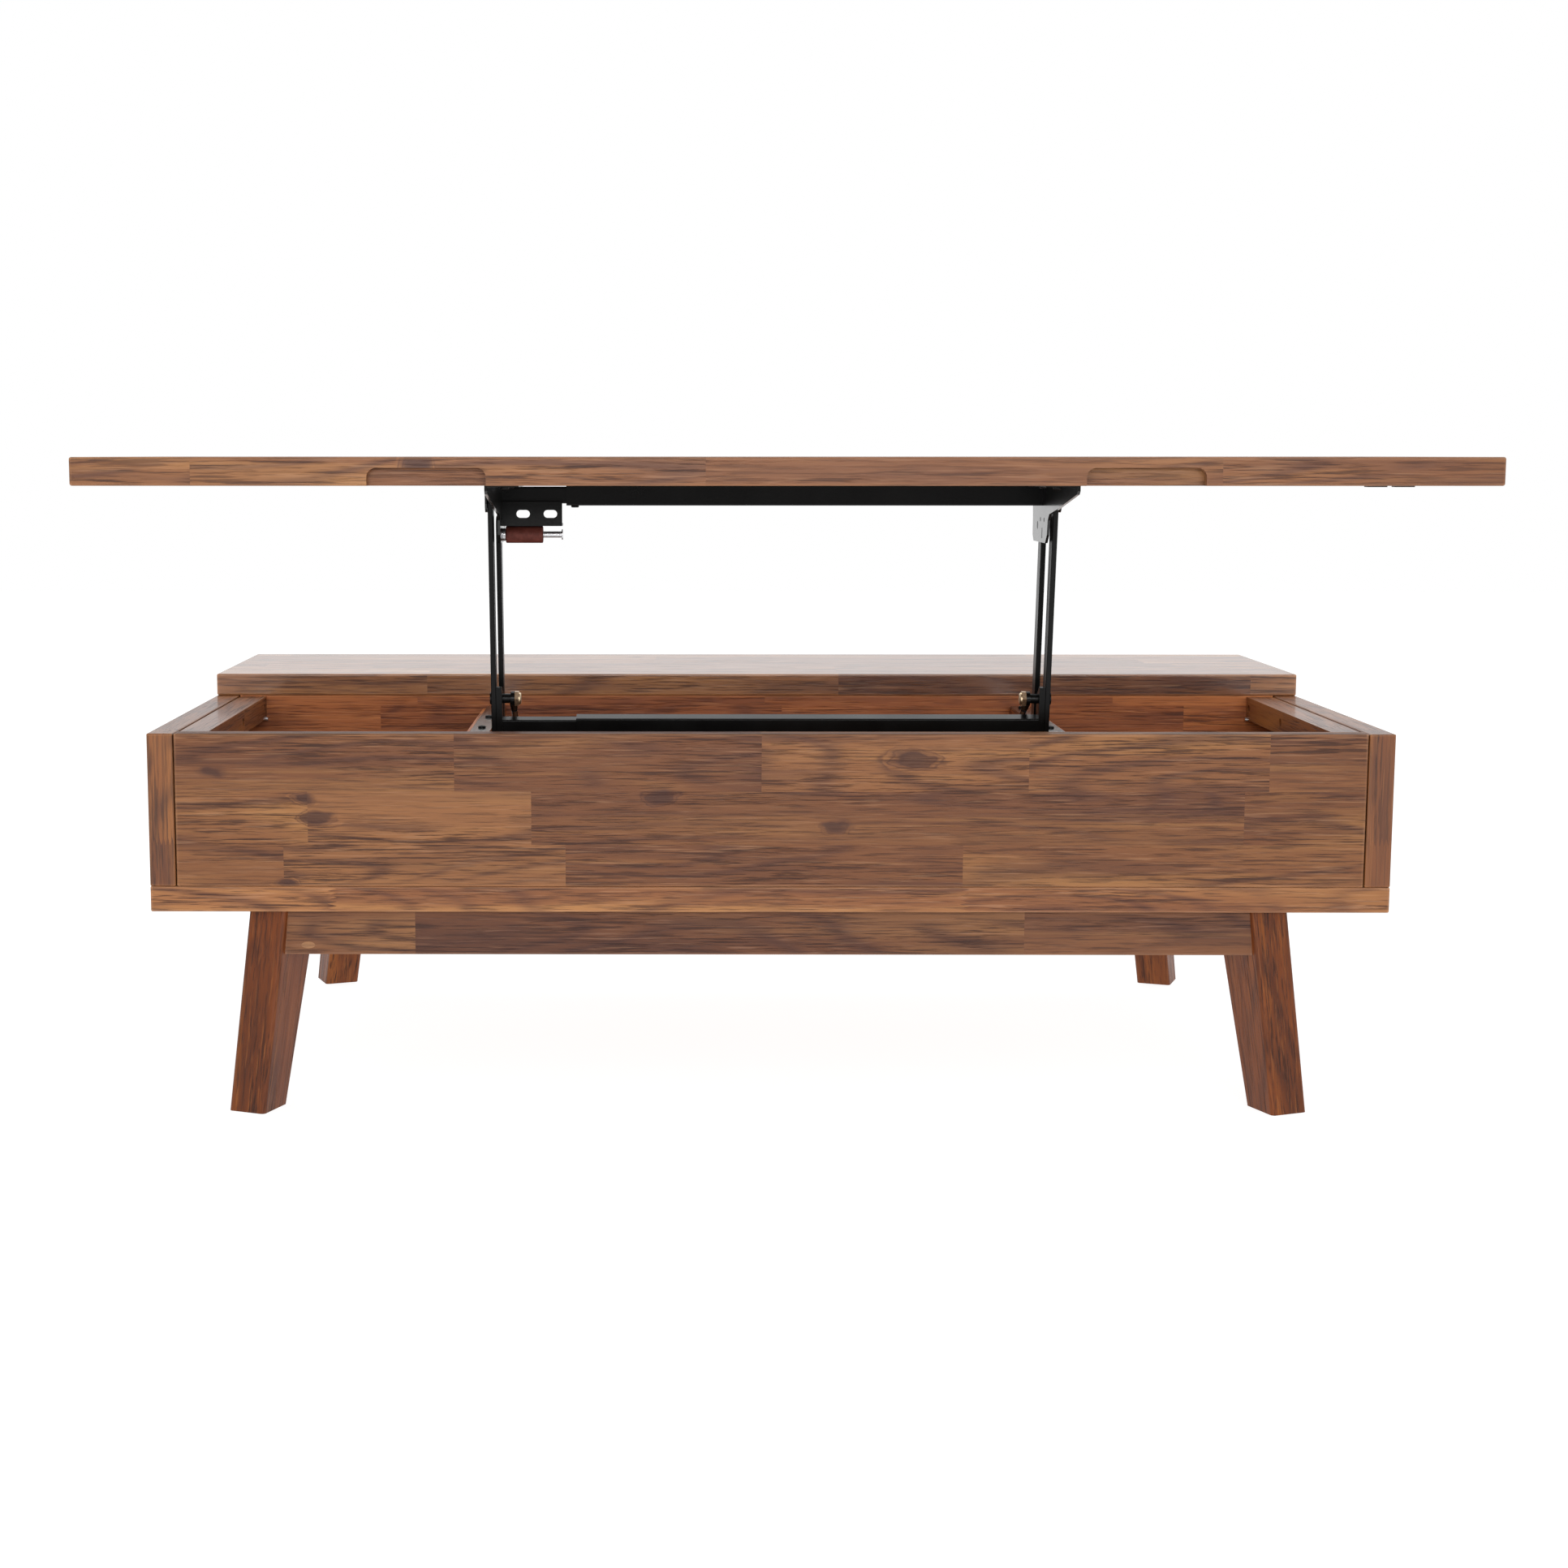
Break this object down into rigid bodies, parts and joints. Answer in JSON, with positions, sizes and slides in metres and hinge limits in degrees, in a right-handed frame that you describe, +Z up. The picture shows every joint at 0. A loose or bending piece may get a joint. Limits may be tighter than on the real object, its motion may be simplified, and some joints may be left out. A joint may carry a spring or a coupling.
{
  "type": "lift top coffee table",
  "caption": "Wooden coffee table on splayed legs whose front top slab swings up and forward on a linked steel mechanism, over a divided storage box with a fixed rear slab.",
  "frame": {"origin": "on the floor, under the middle of the whole table as it stands with its top raised", "axes": "+X to the right along the width, +Y from the front to the back, +Z up; the raised top reaches out over -Y"},
  "size_m": [1.2, 0.9246, 0.6399],
  "materials": {
    "slab_wood": "satin",
    "box_wood": "satin",
    "inner_wood": "satin",
    "leg_wood": "satin",
    "plug_wood": "satin",
    "black_steel": "satin",
    "black_fasteners": "satin",
    "zinc_steel": "bright zinc",
    "brass_nut": "yellow zinc",
    "strut_black": "gloss",
    "strut_rod": "polished",
    "brown_rubber": "matt",
    "felt": "matt"
  },
  "bodies": {
    "cabinet": {"apron_back": "leg_wood", "apron_front": "leg_wood", "apron_left": "leg_wood", "apron_plug": "plug_wood", "apron_right": "leg_wood", "back_panel": "box_wood", "base_bracket_left": "black_steel", "base_bracket_right": "black_steel", "base_pivot_pins": "black_fasteners", "bottom_board": "box_wood", "bracket_screws": "black_fasteners", "cross_rail": "inner_wood", "divider_left": "inner_wood", "divider_right": "inner_wood", "front_panel": "box_wood", "inner_rail_left": "inner_wood", "inner_rail_right": "inner_wood", "leg_back_left": "leg_wood", "leg_back_right": "leg_wood", "leg_bolts": "black_fasteners", "leg_front_left": "leg_wood", "leg_front_right": "leg_wood", "rail_pins": "zinc_steel", "rail_screws": "zinc_steel", "rear_slab": "slab_wood", "side_panel_left": "box_wood", "side_panel_right": "box_wood", "stop_pins": "black_fasteners", "strut_anchor_left": "black_steel", "strut_anchor_right": "black_steel"},
    "lift_arms": {"front_arm_left": "black_steel", "front_arm_right": "black_steel", "arm_gusset_left": "black_steel", "arm_gusset_right": "black_steel", "lower_bar_outer": "black_steel", "lower_bar_inner": "black_steel", "lower_bar_bolt": "black_fasteners", "strut_bolts": "black_fasteners", "strut_sleeves": "black_steel", "strut_nuts": "brass_nut"},
    "lift_top": {"lift_slab": "slab_wood", "top_bracket_left": "black_steel", "top_bracket_right": "black_steel", "top_pivot_pins": "black_fasteners", "top_screws": "black_fasteners", "upper_bar_outer": "black_steel", "upper_bar_inner": "black_steel", "upper_bar_bolt": "black_fasteners", "buffer_bracket": "black_steel", "buffer_pin": "zinc_steel", "edge_pads": "felt"},
    "rear_arm_left": {"rear_arm_left": "black_steel"},
    "rear_arm_right": {"rear_arm_right": "black_steel"},
    "roller": {"buffer_roller": "brown_rubber"},
    "strut_tube_left": {"strut_tube_left": "strut_black"},
    "strut_rod_left": {"strut_rod_left": "strut_rod"},
    "strut_end_left": {"strut_end_left": "strut_black"},
    "strut_tube_right": {"strut_tube_right": "strut_black"},
    "strut_rod_right": {"strut_rod_right": "strut_rod"},
    "strut_end_right": {"strut_end_right": "strut_black"}
  },
  "joints": [
    {"name": "lift_arms_swing", "type": "hinge", "parent": "cabinet", "child": "lift_arms", "pos_m": [0, -0.12619, 0.3572], "axis": [-1, 0, 0], "range_deg": [0, 98]},
    {"name": "rear_arm_left_swing", "type": "hinge", "parent": "cabinet", "child": "rear_arm_left", "pos_m": [-0.2632, -0.08919, 0.3352], "axis": [-1, 0, 0], "range_deg": [0, 98]},
    {"name": "rear_arm_right_swing", "type": "hinge", "parent": "cabinet", "child": "rear_arm_right", "pos_m": [0.2672, -0.08919, 0.3352], "axis": [-1, 0, 0], "range_deg": [0, 98]},
    {"name": "top_stays_level", "type": "hinge", "parent": "lift_arms", "child": "lift_top", "pos_m": [0, -0.15973, 0.59585], "axis": [-1, 0, 0], "range_deg": [-98, 0]},
    {"name": "roller_spin", "type": "hinge", "parent": "lift_top", "child": "roller", "pos_m": [-0.237, -0.14273, 0.56515], "axis": [1, 0, 0], "continuous": true},
    {"name": "strut_left_swing", "type": "hinge", "parent": "cabinet", "child": "strut_tube_left", "pos_m": [-0.2503, 0.06227, 0.295], "axis": [1, 0, 0], "range_deg": [0, 5.5]},
    {"name": "strut_left_slide", "type": "slide", "parent": "strut_tube_left", "child": "strut_rod_left", "axis": [0, 0.8716, -0.4901], "range_m": [0, 0.07046]},
    {"name": "strut_left_eye", "type": "hinge", "parent": "lift_arms", "child": "strut_end_left", "pos_m": [-0.2503, -0.13287, 0.40473], "axis": [1, 0, 0], "range_deg": [0, 103.57]},
    {"name": "strut_right_swing", "type": "hinge", "parent": "cabinet", "child": "strut_tube_right", "pos_m": [0.2543, 0.06227, 0.295], "axis": [1, 0, 0], "range_deg": [0, 5.5]},
    {"name": "strut_right_slide", "type": "slide", "parent": "strut_tube_right", "child": "strut_rod_right", "axis": [0, 0.8716, -0.4901], "range_m": [0, 0.07046]},
    {"name": "strut_right_eye", "type": "hinge", "parent": "lift_arms", "child": "strut_end_right", "pos_m": [0.2543, -0.13287, 0.40473], "axis": [1, 0, 0], "range_deg": [0, 103.57]}
  ],
  "couplings": [
    {"joint": "rear_arm_left_swing", "follows": "lift_arms_swing", "ratio": 1},
    {"joint": "rear_arm_right_swing", "follows": "lift_arms_swing", "ratio": 1},
    {"joint": "top_stays_level", "follows": "lift_arms_swing", "ratio": -1},
    {"joint": "strut_left_swing", "follows": "lift_arms_swing", "ratio": 0.055765},
    {"joint": "strut_left_slide", "follows": "lift_arms_swing", "m_per_rad": 0.041078},
    {"joint": "strut_left_eye", "follows": "lift_arms_swing", "ratio": 1.0558},
    {"joint": "strut_right_swing", "follows": "lift_arms_swing", "ratio": 0.055765},
    {"joint": "strut_right_slide", "follows": "lift_arms_swing", "m_per_rad": 0.041078},
    {"joint": "strut_right_eye", "follows": "lift_arms_swing", "ratio": 1.0558}
  ]
}
